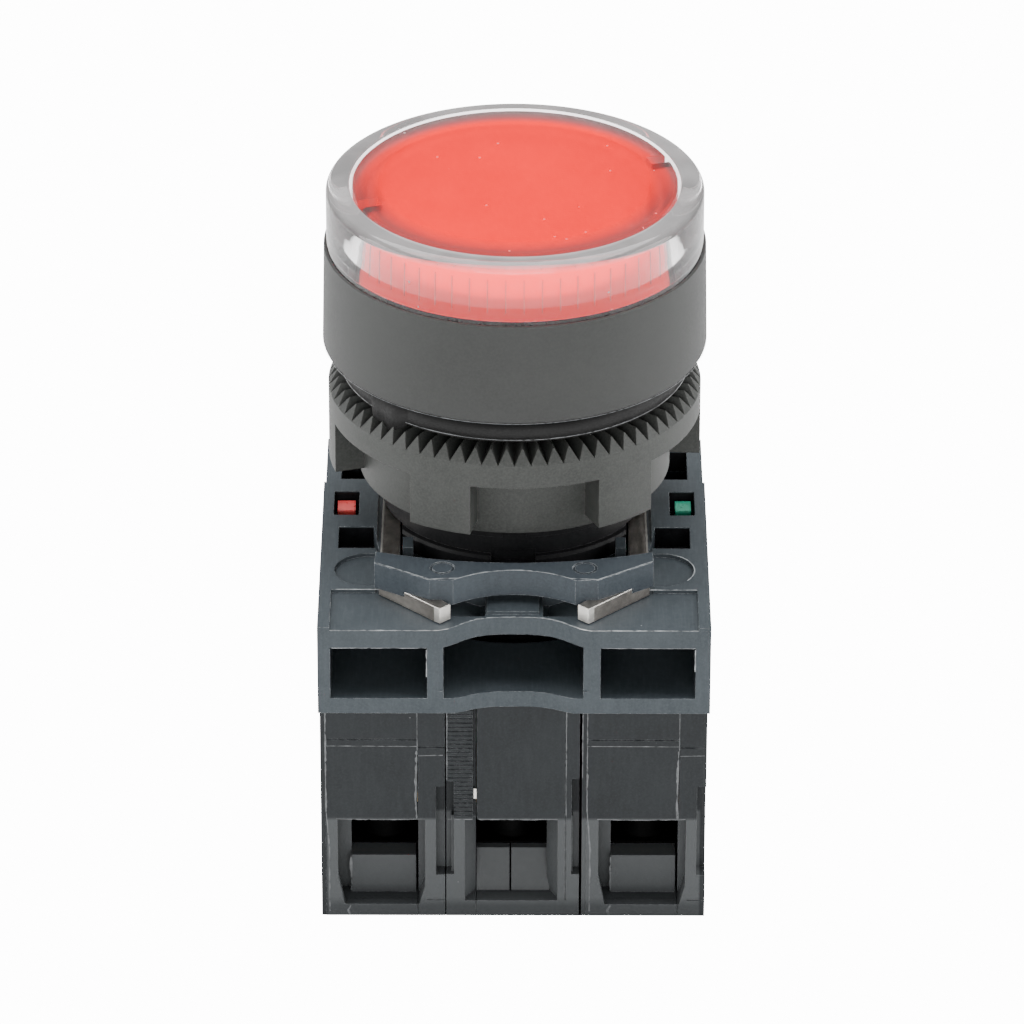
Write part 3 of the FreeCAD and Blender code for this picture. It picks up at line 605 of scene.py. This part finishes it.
face = {"front": -15.5, "top": 20.6, "joint": 9.5, "entry": 8.84, "notch": 15.0, "divide": 7.5}
front = face["front"] - flash["lift"]
blockPaths = []
for left, name in ((-15.0, "nc"), (5.3, "no")):
    seam = left + face["divide"]
    blockPaths += [
        ([(left + 0.38, front, face["top"]), (left + 0.38, front, face["joint"])], (1, 0, 0), 0.10),
        ([(left + 0.40, front, face["joint"]), (left + 0.62, front, 6.0), (left + 0.6, front, 0.4)],
         (1, 0, 0), 0.09),
        ([(seam, front, face["top"]), (seam, front, face["notch"])], (1, 0, 0), 0.04),
        ([(seam, front, face["notch"]), (seam - 0.1, front, 10.5), (seam, front, 8.9)], (-1, 0, 0), 0.17),
        ([(left + 0.4, front, 15.42), (seam, front, 15.40)], (0, 0, 1), 0.05),
        ([(seam + 0.1, front, 14.55), (left + 9.5, front, 14.6)], (0, 0, 1), 0.05),
        ([(left + 2.32, -13.58, 4.2), (left + 2.34, -13.62, 1.15)], (-1, 0, 0), 0.14),
        ([(left + 2.3, front, 0.95), (left + 2.1, front, 0.5), (left + 2.25, front, 0.05)],
         (-1, 0, 0), 0.16),
        ([(left + 1.2, front, 8.86), (left + 3.5, front, 8.80), (left + 6.2, front, 8.82),
          (left + 8.1, front, 8.86)], (0, 0, -1), 0.06),
    ]
blockPaths += [
    ([(-5.2, front, face["top"]), (-5.2, front, 12.4)], (1, 0, 0), 0.07),
    ([(4.05, front, face["top"]), (4.05, front, 9.2)], (1, 0, 0), 0.06),
    ([(-2.7, front, face["entry"]), (3.4, front, face["entry"])], (0, 0, -1), 0.09),
    ([(-5.1, front, face["entry"]), (-3.2, front, face["entry"])], (0, 0, -1), 0.08),
    ([(5.36, front, face["top"]), (5.36, front, 12.6)], (-1, 0, 0), 0.08),
]
flashPiece("blockFlash", blockPaths, "flashDark", 21)

rim = -19.6 + 0.03
top = 28.05 + flash["lift"]
collarPaths = [
    ([(-14.9, rim, top), (-5.8, rim, top), (-5.1, -19.33, top), (-4.4, -18.83, top), (-3.7, -18.28, top),
      (-2.9, -17.83, top), (-2.0, -17.58, top), (0, -17.45, top), (2.0, -17.58, top), (2.9, -17.83, top),
      (3.7, -18.28, top), (4.4, -18.83, top), (5.1, -19.33, top), (5.8, rim, top), (14.9, rim, top)],
     (0, 1, 0), 0.11),
    ([(-14.0, -13.76, 28.35), (-9.3, -13.76, 28.35)], (0, 1, 0), 0.09),
    ([(9.3, -13.76, 28.35), (14.0, -13.76, 28.35)], (0, 1, 0), 0.09),
    ([(-13.9, rim - 0.01, 26.56), (-6.7, rim - 0.01, 26.56)], (0, 0, -1), 0.06),
    ([(6.7, rim - 0.01, 26.56), (13.8, rim - 0.01, 26.56)], (0, 0, -1), 0.04),
    ([(-6.66, rim - 0.01, 26.4), (-6.66, rim - 0.01, 24.0)], (-1, 0, 0), 0.05),
    ([(13.82, rim - 0.01, 26.4), (13.82, rim - 0.01, 24.5)], (-1, 0, 0), 0.05),
    ([(-14.9, rim - 0.01, 20.84), (-7.5, rim - 0.01, 20.84)], (0, 0, 1), 0.05),
    ([(7.5, rim - 0.01, 20.84), (14.9, rim - 0.01, 20.84)], (0, 0, 1), 0.04),
]
mark = [(11.3 + 2.58 * math.cos(math.radians(a)), -10.6 + 2.58 * math.sin(math.radians(a)), 28.352)
        for a in range(-40, 151, 10)]
collarPaths.append((mark, (1, 0, 0), 0.09))
flashPiece("collarFlash", collarPaths, "flashPale", 8)


def ringPath(radius, z, first, last):
    return [(radius * math.cos(math.radians(a)), radius * math.sin(math.radians(a)), z)
            for a in range(first, last, 3)]


flashPiece("gasketFlash", [(ringPath(13.5, 41.22, 190, 352), (0, 0, 1), 0.05)], "flashDark", 14)
flashPiece("bezelFlash", [(ringPath(14.87, 43.33, 180, 361), (0, 0, 1), 0.035)], "flashDark", 15)
print("moulding flash made")


# lever: pale worn line on its upper front edge
lever = {"top": 31.15, "bend": 7.8, "middle": -23.46, "inset": 0.03, "step": 0.25, "steps": 17,
         "left": [(-10.66, -14.5), (-6.45, -17.12)], "right": [(6.4, -17.12), (10.6, -14.25)]}


def leverLine():
    across = [i * lever["step"] for i in range(-lever["steps"], lever["steps"] + 1)]
    bend = [(x, lever["middle"] + math.sqrt(lever["bend"] ** 2 - x ** 2) - lever["inset"]) for x in across]
    path = [(x, y, lever["top"] + flash["lift"]) for x, y in lever["left"] + bend + lever["right"]]
    corners, faces = [], []
    flashLine(corners, faces, path, (0, 1, 0), 0.10, random.Random(3), 0.1)
    piece = meshOf("leverLine", corners, faces, "flashPale")
    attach(piece, "lock")


# wires: bright sheared ends, and a painted highlight along the outer edge
wire = {"low": 28.16, "high": 29.40, "top": 29.418, "end": [(4.86, -17.93), (5.65, -18.62), (6.09, -18.27)],
        "edge": [(10.37, -14.1), (10.17, 8.0), (10.03, 8.0), (10.22, -14.1)]}


def wireEndsAndHighlight():
    corners, faces = [], []
    for side in (-1, 1):
        panels = [[(x, y, z) for (x, y), z in zip((first, last, last, first),
                                                  (wire["low"], wire["low"], wire["high"], wire["high"]))]
                  for first, last in zip(wire["end"], wire["end"][1:])]
        # painted highlight: a bright strip along the rounded burr of each wire's top outer edge
        panels.append([(x, y, wire["top"]) for x, y in wire["edge"]])
        for panel in panels:
            start = len(corners)
            corners += [(side * x, y, z) for x, y, z in panel]
            order = (0, 1, 2, 3) if side > 0 else (3, 2, 1, 0)
            faces.append(tuple(start + n for n in order))
    piece = meshOf("wireEndsAndHighlight", corners, faces, "shearedSteelAndHighlight")
    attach(piece, "lock")


# bright tip of a terminal strip, and a dark card under the blocks: painted shadow where the floor would
# show between them
tipBox = {"low": (-3.13, -15.35, 10.6), "high": (-2.87, -15.2, 11.5)}
shadowCardBox = {"low": (-14.9, -15.47, -0.4), "high": (14.85, 15.47, 0.01)}


def boxPiece(name, finishName, low, high):
    corners = [(x, y, z) for z in (low[2], high[2]) for y in (low[1], high[1]) for x in (low[0], high[0])]
    faces = [(0, 2, 3, 1), (4, 5, 7, 6), (0, 1, 5, 4), (2, 6, 7, 3), (0, 4, 6, 2), (1, 3, 7, 5)]
    return meshOf(name, corners, faces, finishName)


leverLine()
wireEndsAndHighlight()
tip = boxPiece("stripTip", "shearedSteelAndHighlight", **tipBox)
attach(tip, "base")
# painted shadow: near-black card under the blocks
card = boxPiece("shadowCard", "chipAndShadowBlack", **shadowCardBox)
print("lever line, wire ends and strip tip made")


# painted shade: near-black sheets on the unlit walls of the small windows in the collar's top, and a
# near-black floor in one window hiding the red plunger below it
windowShade = {"windows": ((12.16, 14.11, 1.93), (11.61, 13.64, 8.58), (10.96, 13.64, -3.82)), "low": 26.6,
         "high": 28.25, "floor": (10.6, 13.64, -7.18, -3.84)}


def windowShadeSheets():
    corners, faces = [], []
    for side in (-1, 1):
        for near, far, y in windowShade["windows"]:
            start = len(corners)
            corners += [(side * near, y, windowShade["low"]), (side * far, y, windowShade["low"]),
                        (side * far, y, windowShade["high"]), (side * near, y, windowShade["high"])]
            faces.append((start, start + 1, start + 2, start + 3))
        # painted shade: a near-black floor over the red plunger
        near, far, ahead, back = windowShade["floor"]
        start = len(corners)
        corners += [(side * x, y, windowShade["low"]) for x, y in
                    ((near, ahead), (far, ahead), (far, back), (near + 0.4, back))]
        faces.append((start, start + 1, start + 2, start + 3))
    piece = meshOf("windowShadeSheets", corners, faces, "paintedShadeBlack")
    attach(piece, "base")


windowShadeSheets()
print("window liners made")
